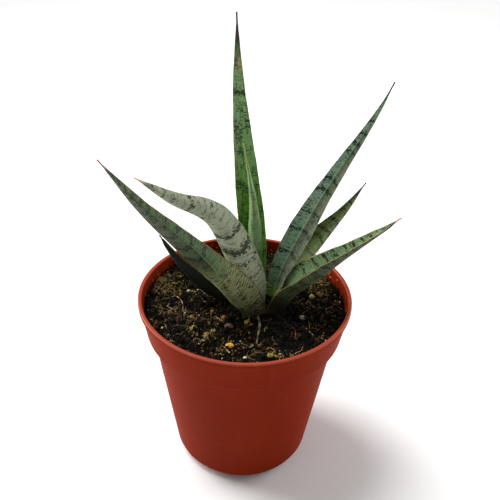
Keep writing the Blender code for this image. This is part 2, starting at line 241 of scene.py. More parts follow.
def leaf_finish(name, length, face, back, dark, foot, tip, edge, seed, bands_at=(), line_every=1.4, lines=0.4,
                breaks=7.0, mottle=0.4, streaks=0.15, bow=1.2, foot_reach=22.0, foot_lines=0.0, foot_shade_to=7.5,
                tip_reach=0.955, tip_dark=0.5, midline=0.0, scar=None, shaded=None, veil=0.0):
    """The skin of one leaf.

    face and back are the ground colours of the hollow and the keeled side. Dark ragged bands cross the leaf
    and bow along it, with finer broken cross lines and mottling between them and faint lengthwise streaks.
    breaks is how often a cross line is broken, and veil a pale bloom. foot_reach is how far the foot's colour
    runs up the leaf and foot_shade_to how far the painted shade on the foot runs, in millimetres, and
    tip_reach is where the dry tip starts. foot_lines draws close lines round the foot. shaded is the colour
    of the half beyond the keel, partly a duller tone of its own and partly painted shade, and scar a dried
    patch: its place along and across, and how short and how narrow it is.
    """
    finish = Finish(name, Specular_IOR_Level=0.2)
    across_mm, along_mm, from_keel = finish.split(finish.stored("leaf_place"))
    across, along, on_back = finish.split(finish.stored("leaf_part"))
    side = seed + on_back * 7.0  # the hollow and the back are marked differently

    def grown(across_scale, along_scale, shift, detail, roughness=0.5):
        """Unevenness that is stretched across or along the leaf."""
        place = finish.join(across_mm * across_scale, along_mm * along_scale, side + shift)
        return finish.noise(place, detail=detail, roughness=roughness)

    drift = grown(0.22, 0.12, 0.0, 2.0)
    level = along_mm - across * across * bow + (drift - 0.5) * 4.0
    ragged = grown(0.6, 1.0, 0.0, 4.0, 0.7)
    flecks = grown(0.8, 1.1, 2.0, 3.0, 0.7)
    broken = grown(0.35, 0.8, 3.0, 3.0, 0.65)
    grain = grown(1.1, 0.13, 9.0, 4.0, 0.7)
    bloom = grown(2.6, 2.6, 0.0, 3.0, 0.75)
    patch = grown(0.25, 0.14, 5.0, 2.0)

    wave = (level * (2 * math.pi / line_every) + ragged * 5.0 + patch * 9.0).sine()
    line = (wave + (broken - 0.5) * breaks - 0.2).between(0.4, 0.85)
    speck = ((flecks - 0.5) * 2.4 + (patch - 0.5) * 1.4 + (broken - 0.5) * 1.2).between(0.16, 0.3)
    streak = ((grain - 0.5) * 2.0 + (patch - 0.5) * 1.0).between(0.02, 0.14)

    # Ground colour
    paler = tuple(min(1.0, 1.35 * v + 0.02) for v in face)
    deeper = tuple(0.55 * v for v in face)
    colour = finish.mix((patch + (bloom - 0.5) * 0.6).between(0.4, 0.66) * 0.5, face, paler)
    # The half beyond the keel takes the shaded colour, partly a duller tone of its own and partly painted
    # shade.
    if shaded:
        beyond = (from_keel + (broken - 0.5) * 0.12).between(-0.03, 0.05) * (1 - along.between(0.78, 0.95))
        if foot_lines:
            # Painted shade: on the back the shaded half darkens further towards the foot.
            deepening_shade = finish.mix(along.between(0.25, 0.6), tuple(0.3 * v for v in shaded), shaded)
            back = finish.mix(beyond * along.between(0.16, 0.24), back, deepening_shade)
        else:
            colour = finish.mix(beyond, colour, shaded)
    colour = finish.mix(on_back, colour, back)
    near_foot = 1 - (along_mm + (broken - 0.5) * 8.0).between(foot_reach * 0.5, foot_reach)
    colour = finish.mix(near_foot * 0.9, colour, foot)

    # Markings
    colour = finish.mix((1 - bloom.between(0.42, 0.58)) * 0.4, colour, deeper)
    if veil:
        colour = finish.mix(veil * bloom.between(0.5, 0.64), colour, paler)
    colour = finish.mix(streak * streaks, colour, dark)
    colour = finish.mix(speck * mottle, colour, dark)
    colour = finish.mix(line * lines, colour, dark)
    if foot_lines:
        arcs = (wave + (broken - 0.5) * 3.5).between(0.3, 0.75)
        colour = finish.mix(arcs * near_foot * foot_lines, colour, dark)
    band = 0.0
    if bands_at:
        told = finish.ramp(level / length, band_stops(bands_at, length))
        torn = told + (ragged - 0.5) * 3.4 + (flecks - 0.5) * 1.6
        band = torn.between(0.42, 0.56) * told.between(0.08, 0.3)
        colour = finish.mix(band * 0.92, colour, dark)
    if midline:
        mid = 1 - abs(from_keel + (broken - 0.5) * 0.1).between(0.02, 0.08)
        colour = finish.mix(mid * midline * flecks.between(0.35, 0.55), colour, paler)

    # Wear and painted shade: a dried patch, the thin rim, painted shade darkening the foot and the dry tip
    if scar:
        scar_along, scar_across, shortness, narrowness = scar
        away = abs(across - scar_across) * narrowness + abs(along - scar_along) * shortness
        dried = 1 - (away + (ragged - 0.5) * 1.1).between(0.5, 0.8)
        tan = finish.mix(flecks.between(0.4, 0.6), linear(120, 96, 60), linear(192, 170, 128))
        colour = finish.mix(dried * 0.85, colour, tan)
    inset = abs(across_mm) / across.maths("MAXIMUM", abs(across), 0.3) - abs(across_mm)
    rim = (1 - (inset + (broken - 0.5) * 0.5).between(0.16, 0.36)) * abs(across).between(0.6, 0.7)
    rim = rim * (1 - along.between(0.85, 0.97))
    colour = finish.mix(rim * 0.85, colour, edge)
    # Painted shade: the leaf darkens towards its foot, where it stands in shadow by the peat.
    painted_foot_shade = 1 - (along_mm + (ragged - 0.5) * 9.0).between(foot_shade_to * 0.4, foot_shade_to)
    colour = finish.mix(painted_foot_shade * 0.8, colour, linear(26, 22, 12))
    if tip_dark:
        colour = finish.mix(along.between(tip_reach - 0.06, tip_reach) * tip_dark, colour, dark)
    colour = finish.mix(along.between(tip_reach, tip_reach + 0.02), colour, tip)
    finish.put("Base Color", colour)
    finish.put("Roughness", 0.46 + 0.16 * bloom + 0.08 * line - 0.05 * band)
    finish.bump(grain * 0.7 + bloom * 0.4 + ragged * 0.35, 0.2, 0.7)
    return finish.material


def pot_finish():
    """Brick-red moulded plastic, matt with a soft sheen, dusty where the peat has touched it, with a painted
    highlight along the top of the lip.
    """
    finish = Finish("brick_red_plastic", Specular_IOR_Level=0.03, Coat_Roughness=0.4)
    place = finish.place()
    x, y, z = finish.split(place)
    height = z / MM
    cloud = finish.noise(place, scale=22.0, detail=3.0)
    flow = finish.noise(finish.join(x * 260.0, y * 260.0, z * 9.0), detail=3.0)
    pores = finish.noise(place, scale=2600.0, detail=2.0)
    scuffs = finish.noise(finish.join(x * 60.0, y * 60.0, z * 500.0), detail=4.0, roughness=0.7)
    colour = finish.mix(cloud.between(0.35, 0.7), linear(120, 30, 3), linear(126, 34, 5))
    colour = finish.mix(flow.between(0.55, 0.75) * 0.2, colour, linear(142, 44, 16))
    colour = finish.mix(scuffs.between(0.62, 0.74) * 0.22, colour, linear(160, 74, 46))
    inner, dust_line = finish.split(finish.stored("pot_part"))[:2]
    dust = finish.noise(place, scale=420.0, detail=4.0, roughness=0.7)
    dirty = inner * (1 - height.between(94.0, 98.8)) * dust.between(0.42, 0.6)
    colour = finish.mix(dirty * 0.75, colour, linear(44, 24, 14))
    specks = finish.noise(place, scale=1500.0, detail=1.0).between(0.68, 0.74)
    colour = finish.mix(specks * dust_line * 0.35, colour, linear(190, 120, 92))
    # Painted highlight: a brighter orange-red line along the top of the lip.
    colour = finish.mix(height.between(99.2, 99.8) * 0.55, colour, linear(186, 82, 58))
    finish.put("Base Color", colour)
    finish.put("Roughness", 0.50 + 0.14 * cloud + 0.1 * scuffs)
    finish.put("Coat Weight", 0.02 * flow + 0.3 * height.between(98.6, 99.4))
    finish.bump(pores * 0.35 + flow * 0.35 + scuffs * 0.4, 0.06, 0.6)
    return finish.material


def peat_finish(name, stops, depth_mm=0.5, grain=900.0):
    """Peat: near black, partly as painted shade between the crumbs, and brown where it has dried. Each crumb
    carries its own tone.
    """
    finish = Finish(name, Specular_IOR_Level=0.12)
    place = finish.place()
    tone = finish.stored("tone", "Fac")
    coarse = finish.noise(place, scale=grain, detail=4.0, roughness=0.7)
    fine = finish.noise(place, scale=grain * 4, detail=3.0, roughness=0.7)
    colour = finish.ramp(tone * 0.8 + (coarse - 0.5) * 0.5 + (fine - 0.5) * 0.25 + 0.1, stops)
    finish.put("Base Color", colour)
    finish.put("Roughness", 0.78 + 0.3 * (fine - 0.5))
    finish.bump(coarse + fine * 0.6, depth_mm, 0.9)
    return finish.material


def strand_finish(name, dark, light):
    """Dry plant fibre, streaked along its length. Each strand carries its own tone."""
    finish = Finish(name, Specular_IOR_Level=0.3)
    place = finish.place()
    tone = finish.stored("tone", "Fac")
    flecks = finish.noise(place, scale=1800.0, detail=3.0, roughness=0.7)
    colour = finish.mix((tone + (flecks - 0.5) * 0.6).between(0.1, 0.9), dark, light)
    finish.put("Base Color", colour)
    finish.put("Roughness", 0.65 + 0.25 * flecks)
    finish.bump(flecks, 0.12, 0.7)
    return finish.material


def grain_finish(name, light, dark, gloss):
    """A rough mineral or coated grain, darker in its pits."""
    finish = Finish(name, Specular_IOR_Level=0.4)
    place = finish.place()
    pits = finish.noise(place, scale=1300.0, detail=4.0, roughness=0.65)
    stain = finish.noise(place, scale=420.0, detail=2.0)
    colour = finish.mix(pits.between(0.35, 0.6), dark, light)
    colour = finish.mix(stain.between(0.55, 0.72) * 0.5, colour, dark)
    finish.put("Base Color", colour)
    finish.put("Roughness", gloss + 0.3 * pits)
    finish.bump(pits, 0.25, 0.8)
    return finish.material


# ---------------------------------------------------------------- meshes


def add_piece(name, points, faces, material, node=None, stored=None, smooth=True):
    """A piece from points in millimetres that rides on the part and may stand for a node of the model."""
    mesh = bpy.data.meshes.new(name)
    mesh.from_pydata((np.asarray(points, float) * MM).tolist(), [], faces)
    mesh.update()
    mesh.polygons.foreach_set("use_smooth", [smooth] * len(mesh.polygons))
    for key, values in (stored or {}).items():
        values = np.asarray(values, np.float32)
        kind, field = ("FLOAT", "value") if values.ndim == 1 else ("FLOAT_VECTOR", "vector")
        mesh.attributes.new(key, kind, "POINT").data.foreach_set(field, values.ravel())
    mesh.materials.append(material)
    piece = bpy.data.objects.new(name, mesh)
    bpy.context.scene.collection.objects.link(piece)
    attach(piece, "root")
    if node:
        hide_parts(node)
    return piece


def loft(rings, start_point, end_point):
    """Points and faces of a tube through equal rings, closed at both ends by a fan to a point."""
    rings = np.asarray(rings)
    count, around, _ = rings.shape
    points = np.vstack([rings.reshape(-1, 3), start_point, end_point])
    start, end = count * around, count * around + 1
    last = (count - 1) * around
    faces = []
    for j in range(around):
        k = (j + 1) % around
        faces.append((start, k, j))
        faces.append((end, last + j, last + k))
        for i in range(0, last, around):
            faces.append((i + j, i + k, i + around + k, i + around + j))
    return points, faces


def lathe(profile, segments):
    """A body turned about Z, from a profile of (radius, height) that starts and ends on the axis."""
    turn = np.linspace(0, 2 * np.pi, segments, endpoint=False)
    rings = [
        np.stack([r * np.cos(turn), r * np.sin(turn), np.full(segments, z)], axis=1)
        for r, z in profile[1:-1]
    ]
    return loft(rings, (0, 0, profile[0][1]), (0, 0, profile[-1][1]))


def round_corners(corners, steps=5):
    """A profile whose (radius, height, rounding) corners are each eased by a short curve."""
    line = [corners[0][:2]]
    for before, corner, after in zip(corners, corners[1:], corners[2:]):
        p, q, r = (np.array(c[:2], float) for c in (before, corner, after))
        back, on = np.linalg.norm(p - q), np.linalg.norm(r - q)
        reach = min(corner[2], 0.48 * back, 0.48 * on)
        if reach < 1e-3:
            line.append(tuple(q))
            continue
        a, b = q + (p - q) / back * reach, q + (r - q) / on * reach
        for t in np.linspace(0, 1, steps):
            line.append(tuple((1 - t) ** 2 * a + 2 * t * (1 - t) * q + t**2 * b))
    line.append(corners[-1][:2])
    return line


class Lumps:
    """Smooth repeatable unevenness over a plane."""

    def __init__(self, seed):
        self.table = np.random.default_rng(seed).random((64, 64)) * 2 - 1

    def at(self, x, y):
        i, j = np.floor(x).astype(int), np.floor(y).astype(int)
        u, v = x - i, y - j
        u, v = u * u * (3 - 2 * u), v * v * (3 - 2 * v)
        corner = lambda a, b: self.table[(i + a) % 64, (j + b) % 64]
        low = corner(0, 0) * (1 - u) + corner(1, 0) * u
        high = corner(0, 1) * (1 - u) + corner(1, 1) * u
        return low * (1 - v) + high * v

    def layers(self, x, y, size, count, fade=0.5):
        """Lumps of a size in millimetres, with finer ones on them."""
        total, weight = 0.0, 1.0
        for k in range(count):
            total = total + weight * self.at(x / size + 17.3 * k, y / size + 5.1 * k)
            size, weight = size / 2.1, weight * fade
        return total


# ---------------------------------------------------------------- pot


def build_pot():
    """The pot, one thin shell turned about its axis."""
    lip_low = POT_HEIGHT - LIP_HEIGHT
    outside = [
        (0, 0, 0),
        (BASE_RADIUS - FOOT_ROUND, 0, 1.0),
        *[(BASE_RADIUS - FOOT_ROUND * (1 - math.sin(t)), FOOT_ROUND * (1 - math.cos(t)), 1.2)
          for t in np.linspace(0.2, math.pi / 2, 6)],
        (SHOULDER_RADIUS, SHOULDER_LEVEL, 0.5),
        (COLLAR_LOW_RADIUS - 0.35, STEP_LEVEL - 0.35, 0.5),
        (COLLAR_LOW_RADIUS, STEP_LEVEL + 0.4, 0.5),
        (COLLAR_TOP_RADIUS, lip_low, 0.35),
        (RIM_RADIUS, lip_low + 0.7, 0.5),
        (RIM_RADIUS, POT_HEIGHT, 0.8),
    ]
    inside = [
        (RIM_RADIUS - LIP_WIDTH, POT_HEIGHT, 0.7),
        (COLLAR_TOP_RADIUS - WALL, lip_low - WALL, 0.8),
        (COLLAR_LOW_RADIUS - WALL, STEP_LEVEL + WALL, 1.0),
        (SHOULDER_RADIUS - WALL, SHOULDER_LEVEL + WALL, 1.0),
        (BASE_RADIUS - WALL, FOOT_ROUND + FLOOR, 4.0),
        (BASE_RADIUS - FOOT_ROUND, FLOOR, 2.0),
        (0, FLOOR, 0),
    ]
    profile = round_corners(outside + inside)
    segments = 180
    points, faces = lathe(profile, segments)
    top = max(range(len(profile)), key=lambda i: (profile[i][1], -profile[i][0]))
    is_inner = [1.0 if i > top else 0.0 for i in range(1, len(profile) - 1)]
    near_lip = [1.0 if z > lip_low else 0.25 for _, z in profile[1:-1]]
    part = np.column_stack([np.repeat(is_inner, segments), np.repeat(near_lip, segments)])
    part = np.vstack([part, [0, 0], [1, 0]])
    part = np.column_stack([part, np.zeros(len(part))])
    add_piece("pot_shell", points, faces, pot_finish(), "pot", {"pot_part": part})


# ---------------------------------------------------------------- peat

PEAT = Lumps(SEED)


def peat_height(x, y):
    """The top of the peat: gently heaped, lumpy, and drawn up around the leaves' feet."""
    u, v = x / SOIL_RADIUS, y / SOIL_RADIUS
    wave = np.sin(3.1 * u + 0.7) * np.cos(2.3 * v - 0.4) + 0.5 * np.sin(4.3 * v + 1.9 * u)
    heap = 1.8 * np.exp(-((x - CROWN[0]) ** 2 + (y - CROWN[1]) ** 2) / 150)
    edge = -0.9 * np.clip((np.hypot(x, y) - 47) / 4, 0, 1) ** 2
    return SOIL_LEVEL + 0.45 * wave + heap + edge + 0.8 * PEAT.layers(x, y, 5.0, 5, 0.72)


def peat_at(x, y):
    """The top of the peat at one place."""
    return float(peat_height(np.array(x), np.array(y)))


def keep_inside(x, y, radius):
    """A place over the peat, drawn in to the radius if it lies beyond it."""
    away = math.hypot(x, y)
    return (x * radius / away, y * radius / away) if away > radius else (x, y)


# The bed's tones are near black, partly as painted shade in the gaps between the crumbs.
BED_TONES = [
    (0.0, linear(3, 2, 0)), (0.45, linear(9, 6, 2)), (0.75, linear(30, 20, 8)), (1.0, linear(66, 48, 22)),
]
CRUMB_TONES = [
    (0.0, linear(4, 3, 1)), (0.3, linear(16, 10, 4)), (0.46, linear(60, 38, 12)), (0.6, linear(160, 116, 56)),
    (0.8, linear(172, 156, 78)), (1.0, linear(246, 232, 190)),
]


def build_peat_bed():
    """One closed lump of peat, from the pot's floor up to its rough top."""
    around, steps = 300, 96
    turn = np.linspace(0, 2 * np.pi, around, endpoint=False)
    circle = np.stack([np.cos(turn), np.sin(turn)], axis=1)
    sides = [
        (BASE_RADIUS - FOOT_ROUND, FLOOR + GAP),
        (BASE_RADIUS - WALL - GAP, FOOT_ROUND + FLOOR + GAP),
        (SHOULDER_RADIUS - WALL - GAP, SHOULDER_LEVEL + WALL + GAP),
        (COLLAR_LOW_RADIUS - WALL - GAP, STEP_LEVEL + WALL + GAP),
    ]
    rings = [np.column_stack([r * circle, np.full(around, z)]) for r, z in sides]
    tones = [np.zeros(around)] * len(rings)
    for part in np.linspace(1, 0.004, steps) ** 0.75:
        xy = part * SOIL_RADIUS * circle
        rings.append(np.column_stack([xy, peat_height(xy[:, 0], xy[:, 1])]))
        tones.append(0.32 + 0.2 * PEAT.layers(xy[:, 0] + 40, xy[:, 1], 3.0, 4, 0.7))
    points, faces = loft(rings, (0, 0, FLOOR + GAP), (0, 0, peat_at(0.0, 0.0)))
    tone = np.concatenate([*tones, [0, 0.3]])
    material = peat_finish("damp_peat_and_shade", BED_TONES, depth_mm=0.8)
    add_piece("peat_bed", points, faces, material, "potting_soil", {"tone": tone})


def icosphere(levels):
    made = bmesh.new()
    bmesh.ops.create_icosphere(made, subdivisions=levels, radius=1)
    points = np.array([v.co[:] for v in made.verts])
    faces = [[v.index for v in f.verts] for f in made.faces]
    made.free()
    return points, faces


def random_turn(rng):
    q = rng.normal(size=4)
    a, b, c, d = q / np.linalg.norm(q)
    return np.array([
        [1 - 2 * (c * c + d * d), 2 * (b * c - a * d), 2 * (b * d + a * c)],
        [2 * (b * c + a * d), 1 - 2 * (b * b + d * d), 2 * (c * d - a * b)],
        [2 * (b * d - a * c), 2 * (c * d + a * b), 1 - 2 * (b * b + c * c)],
    ])


def crumb(rng, shape, size, flat=0.6):
    """An irregular lump about its own middle."""
    points, _ = shape
    knobs = 1 + 0.35 * np.sin(points @ rng.normal(size=3) * 2.6 + rng.random() * 6)
    knobs = knobs + 0.22 * np.sin(points @ rng.normal(size=3) * 5.2 + rng.random() * 6)
    body = points * knobs[:, None] * np.array([1, 0.75 + 0.3 * rng.random(), flat + 0.3 * rng.random()])
    return body @ random_turn(rng).T * size


def gather(bodies):
    """Many (points, faces, tone) bodies as one mesh."""
    points, faces, tones, count = [], [], [], 0
    for body, sides, tone in bodies:
        points.append(body)
        faces.extend([i + count for i in side] for side in sides)
        tones.append(np.full(len(body), tone))
        count += len(body)
    return np.vstack(points), faces, np.concatenate(tones)


def scatter_on_peat(rng, reach=SOIL_RADIUS - 1.5):
    r, turn = reach * math.sqrt(rng.random()), 2 * math.pi * rng.random()
    return r * math.cos(turn), r * math.sin(turn)


def dryness_and_leaf_shadow(x, y):
    """How dry and pale the peat is, in patches, with painted shadow of the leaves right of the crown."""
    # Painted shadow: the peat's tone drops right of the crown, towards the front, where the leaves shade it.
    painted_leaf_shadow = math.exp(-((x - 24) ** 2 + (y + 14) ** 2) / 260)
    patch = 0.78 + 0.55 * PEAT.layers(np.array(x + 90.0), np.array(y), 5.5, 3, 0.6)
    return float(np.clip(patch, 0.25, 1.25)) * (1 - 0.45 * painted_leaf_shadow)


def build_crumbs():
    """Peat crumbs from dust up to clods a few millimetres across, and flat flakes of rotted bark."""
    rng = np.random.default_rng(SEED + 1)
    coarse, fine = icosphere(2), icosphere(1)
    clods, crumbs = [], []
    for _ in range(CLODS):
        size = 0.4 + 1.1 * rng.random() ** 2.6
        x, y = scatter_on_peat(rng, SOIL_RADIUS - 1 - size)
        flat = 0.2 if rng.random() < 0.35 else 0.6
        tone = 0.5 + 0.35 * rng.random() if rng.random() < 0.2 else 0.4 * rng.random()
        place = (x, y, peat_at(x, y) + 0.35 * size)
        clods.append((crumb(rng, coarse, size, flat) + place, coarse[1], tone * dryness_and_leaf_shadow(x, y)))
    for x, y, size, tone in ((1.2, -17.5, 1.9, 0.66), (3.2, -18.6, 1.3, 0.6), (-2.0, -19.0, 1.5, 0.3)):
        place = (x, y, peat_at(x, y) + 0.3 * size)
        clods.append((crumb(rng, coarse, size, 0.35) + place, coarse[1], tone))
    for _ in range(WALL_CRUMBS):
        turn, size = rng.normal(2.1, 1.3), 0.25 + 0.5 * rng.random() ** 2
        reach, up = COLLAR_TOP_RADIUS - WALL - 0.3 * size, 3.8 * rng.random() ** 2.2
        place = (reach * math.cos(turn), reach * math.sin(turn), SOIL_LEVEL - 0.5 + up)
        crumbs.append((crumb(rng, fine, size) + place, fine[1], 0.3 + 0.45 * rng.random()))
    for _ in range(FINE_CRUMBS):
        size = 0.16 + 0.4 * rng.random() ** 2
        x, y = scatter_on_peat(rng, SOIL_RADIUS - 0.8)
        tone = 0.6 + 0.4 * rng.random() if rng.random() < 0.3 else 0.4 * rng.random()
        place = (x, y, peat_at(x, y) + 0.5 * size)
        crumbs.append((crumb(rng, fine, size) + place, fine[1], tone * dryness_and_leaf_shadow(x, y)))
    material = peat_finish("dry_peat_crumbs", CRUMB_TONES, 0.3, 1500.0)
    for name, bodies in (("peat_clods", clods), ("peat_crumbs", crumbs)):
        points, faces, tone = gather(bodies)
        add_piece(name, points, faces, material, None, {"tone": tone}, smooth=name == "peat_clods")


def tube(path, radius, sides=5):
    """Points and faces of a thin strand along a path, tapering to its ends."""
    path = np.asarray(path, float)
    along = np.gradient(path, axis=0)
    along /= np.linalg.norm(along, axis=1)[:, None]
    sideways = np.cross(along, (0.13, 0.07, 0.99))
    sideways /= np.linalg.norm(sideways, axis=1)[:, None]
    upward = np.cross(sideways, along)
    turn = np.linspace(0, 2 * np.pi, sides, endpoint=False)
    parts = np.linspace(0, 1, len(path))
    rings = []
    for i, part in enumerate(parts):
        r = radius * (1 - 0.65 * part**2) * min(1, 0.5 + 4 * part)
        rings.append(path[i] + r * (np.outer(np.cos(turn), sideways[i]) + np.outer(np.sin(turn), upward[i])))
    return loft(rings, path[0], path[-1] + 0.5 * radius * along[-1])


def wander(rng, start, heading, length, stations=9, curl=0.5, lift=0.5, sink=0.25):
    """A path that curls over the peat and rises a little off it in the middle."""
    step = length / (stations - 1)
    x, y = start
    turn, bend = heading, rng.normal() * curl
    path = []
    for i in range(stations):
        part = i / (stations - 1)
        path.append((x, y, peat_at(x, y) + sink + lift * math.sin(math.pi * part)))
        turn += bend / stations * 3 + rng.normal() * 0.12
        x += step * math.cos(turn)
        y += step * math.sin(turn)
        x, y = keep_inside(x, y, SOIL_RADIUS - 1.2)
    return path


# Where fibres lie thickest: (x, y, spread, count)
FIBRE_TUFTS = ((-37, -8, 5, 70), (-30, -19, 6, 70), (-17, -27, 6, 50), (-26, 22, 6, 30), (38, -2, 5, 50))


def build_fibres():
    """Fine dry fibres all over the peat, with tufts of shorter ones."""
    rng = np.random.default_rng(SEED + 2)
    strands = []
    for _ in range(FIBRES):
        start = scatter_on_peat(rng, SOIL_RADIUS - 3)
        heading, length = 2 * math.pi * rng.random(), 2.5 + 7 * rng.random() ** 2
        path = wander(rng, start, heading, length, lift=0.7 * rng.random())
        tone = rng.beta(1.1, 2.0) * dryness_and_leaf_shadow(*start)
        strands.append((*tube(path, 0.10 + 0.16 * rng.random() ** 2), tone))
    for x, y, spread, count in FIBRE_TUFTS:
        for _ in range(count):
            start = np.array([x, y]) + rng.normal(size=2) * spread
            start = start * min(1, (SOIL_RADIUS - 3) / np.hypot(*start))
            heading, length = 2 * math.pi * rng.random(), 1.5 + 3 * rng.random()
            path = wander(rng, start, heading, length, 7, 1.2, 1.2 * rng.random())
            tone = (0.2 + 0.6 * rng.random()) * dryness_and_leaf_shadow(*start)
            strands.append((*tube(path, 0.11 + 0.1 * rng.random()), tone))
    points, faces, tone = gather(strands)
    material = strand_finish("peat_fibre", linear(22, 14, 5), linear(182, 152, 96))
    add_piece("peat_fibres", points, faces, material, None, {"tone": tone})


def node_place(node):
    """The middle and the half size of a CAD node, in millimetres."""
    low, high = (np.array(corner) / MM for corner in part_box(node))
    return (low + high) / 2, (high - low) / 2


def build_moss(name, node, count, spread, seed):
    """A loose cushion of short curled moss stems over the place of its CAD node."""
    rng = np.random.default_rng(seed)
    middle, half = node_place(node)
    strands = []
    for _ in range(count):
        offset = rng.normal(size=2) * spread * half[:2]
        x, y = middle[:2] + np.clip(offset, -1.5 * half[:2], 1.5 * half[:2])
        x, y = keep_inside(x, y, SOIL_RADIUS - 1.5)
        rise = 1.5 * math.exp(-float(((np.array([x, y]) - middle[:2]) ** 2 / half[:2] ** 2).sum()) / 1.5)
        length = 1.4 + 2.8 * rng.random()
        heading, lift = 2 * math.pi * rng.random(), 0.6 * rng.random()
        path = wander(rng, (x, y), heading, length, 6, 1.4, lift, 0.1 + rise * rng.random())
        strands.append((*tube(path, 0.13 + 0.14 * rng.random(), 5), rng.beta(1.6, 2.0)))
    points, faces, tone = gather(strands)
    material = strand_finish(name + "_stems", linear(34, 24, 7), linear(150, 124, 60))
    add_piece(name, points, faces, material, node, {"tone": tone})


def build_single_strand(name, node, stops, radius, dark, light):
    """One clearly visible dry strand, through stops of (x, y, height over the peat)."""
    stops = [(x, y, peat_at(x, y) + lift) for x, y, lift in stops]
    path = smooth_curve(stops, np.linspace(0, 1, 26))
    points, faces = tube(path, radius, 9)
    tone = 0.5 + 0.4 * np.sin(np.arange(len(points)) * 0.11)
    add_piece(name, points, faces, strand_finish(name + "_straw", dark, light), node, {"tone": tone})


def build_grain(name, node, light, dark, seed, gloss, grow):
    """A rough grain that fills its CAD node's place."""
    rng = np.random.default_rng(seed)
    middle, half = node_place(node)
    points, faces = icosphere(4)
    lump = 1 + 0.10 * np.sin(points @ rng.normal(size=3) * 2.2 + 1)
    lump = lump + 0.05 * np.sin(points @ rng.normal(size=3) * 5)
    lump = lump + 0.02 * np.sin(points @ rng.normal(size=3) * 13)
    body = points * lump[:, None] * half * grow
    centre = np.array([middle[0], middle[1], peat_at(middle[0], middle[1]) + 0.62 * half[2]])
    add_piece(name, body + centre, faces, grain_finish(name + "_skin", light, dark, gloss), node)


# ---------------------------------------------------------------- leaves


def smooth_curve(points, parts):
    """Places at the given parts of the length of a Catmull-Rom curve through the points."""
    p = np.asarray(points, float)
    p = np.vstack([2 * p[0] - p[1], p, 2 * p[-1] - p[-2]])
    pieces = []
    for i in range(1, len(p) - 2):
        t = np.linspace(0, 1, 24)[:, None]
        a, b, c, d = p[i - 1 : i + 3]
        bend = (2 * a - 5 * b + 4 * c - d) * t**2 + (3 * b - a - 3 * c + d) * t**3
        pieces.append(0.5 * (2 * b + (c - a) * t + bend))
    curve = np.vstack([pieces[0], *[piece[1:] for piece in pieces[1:]]])
    length = np.append(0, np.cumsum(np.linalg.norm(np.diff(curve, axis=0), axis=1)))
    at = parts * length[-1]
    return np.stack([np.interp(at, length, curve[:, k]) for k in range(3)], axis=1)


def spread_over(values, parts):
    return np.interp(parts, np.linspace(0, 1, len(values)), values)


def unit(vectors):
    return vectors / np.linalg.norm(vectors, axis=1)[:, None]


def leaf_frame(parts, seat, layer, heading, spine, facing, foot_turn):
    """The leaf's midline, its direction, its sideways direction and the way its hollow face looks."""
    bearing, away_turn = np.radians(seat), np.radians(heading)
    foot = CROWN + layer * LEAF_LAYER * np.array([np.cos(bearing), np.sin(bearing)])
    away = np.array([np.cos(away_turn), np.sin(away_turn)])
    path = [(*foot, FOOT_LEVEL)]
    for reach, rise in spine:
        path.append((*(foot + reach * away), SPINE_LEVEL + rise))
    middle = smooth_curve(path, parts)
    along = unit(np.gradient(middle, axis=0))
    kernel = np.hanning(9) / np.hanning(9).sum()
    eased = [np.convolve(np.pad(along[:, k], 4, "edge"), kernel, "valid") for k in range(3)]
    along = unit(np.stack(eased, axis=1))
    inward = facing[0] + (seat + foot_turn - facing[0]) % 360 - 180
    look = np.radians(np.interp(parts, [0, 0.3, 1], [inward, *facing]))
    towards = np.stack([np.cos(look), np.sin(look), np.zeros_like(look)], axis=1)
    hollow = unit(towards - along * (towards * along).sum(axis=1)[:, None])
    return middle, along, np.cross(along, hollow), hollow


def leaf_half_width(parts, width, widest, foot_width, taper):
    opening = foot_width + (1 - foot_width) * np.sin(np.pi / 2 * np.clip(parts / widest, 0, 1))
    closing = 1 - np.clip((parts - widest) / (1 - widest), 0, 1) ** taper
    return np.maximum(width / 2 * opening * closing, TIP_RADIUS)


def leaf_section(stations):
    """Round a leaf's section: how far across, from -1 to 1, and 1 on the keeled back or 0 in the hollow."""
    turn = np.linspace(-np.pi / 2, np.pi / 2, stations)
    back, front = np.sin(turn), np.sin(turn[::-1][1:-1])
    return np.append(back, front), np.append(np.ones(len(back)), np.zeros(len(front)))


def margin_ripple(rng, ripple, length):
    """How far each margin of a leaf waves, station by station: the one beyond 0 first."""
    phase = rng.random(4) * 6
    first = np.sin(length / 3.3 + phase[0]) + 0.6 * np.sin(length / 1.45 + phase[1])
    second = np.sin(length / 3.9 + phase[2]) + 0.6 * np.sin(length / 1.7 + phase[3])
    return ripple * first, ripple * second


